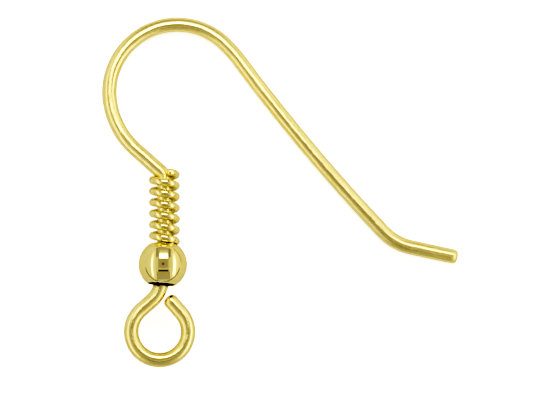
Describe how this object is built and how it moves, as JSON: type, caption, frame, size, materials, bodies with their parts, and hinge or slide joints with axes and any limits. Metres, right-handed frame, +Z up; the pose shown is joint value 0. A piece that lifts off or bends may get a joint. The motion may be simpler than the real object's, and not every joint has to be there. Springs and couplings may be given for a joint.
{
  "type": "ear wire",
  "caption": "French hook ear wire with a fine coil and a hollow round bead on its shank, and an open eye loop for a drop.",
  "frame": {"origin": "centre of the outline as the part lies by itself on a flat surface, at the level of that surface", "axes": "+Z up from the surface, across the flat of the hook; +Y from the eye loop along the coil towards the arch; +X from the shank towards the tip of the tail"},
  "size_m": [0.0182, 0.018, 0.0025],
  "materials": {
    "gold_wire": "polished gold plate over drawn wire",
    "gold_coil": "polished gold plate over fine drawn wire",
    "gold_bead": "mirror polished gold plate"
  },
  "bodies": {
    "wire": {"ear_wire": "gold_wire", "coil": "gold_coil"},
    "bead": {"bead": "gold_bead"}
  },
  "joints": [
    {"name": "bead_spin", "type": "hinge", "parent": "wire", "child": "bead", "pos_m": [-0.00602, -0.00371, 0.00125], "axis": [0.0714, 0.9859, -0.1516], "continuous": true}
  ]
}
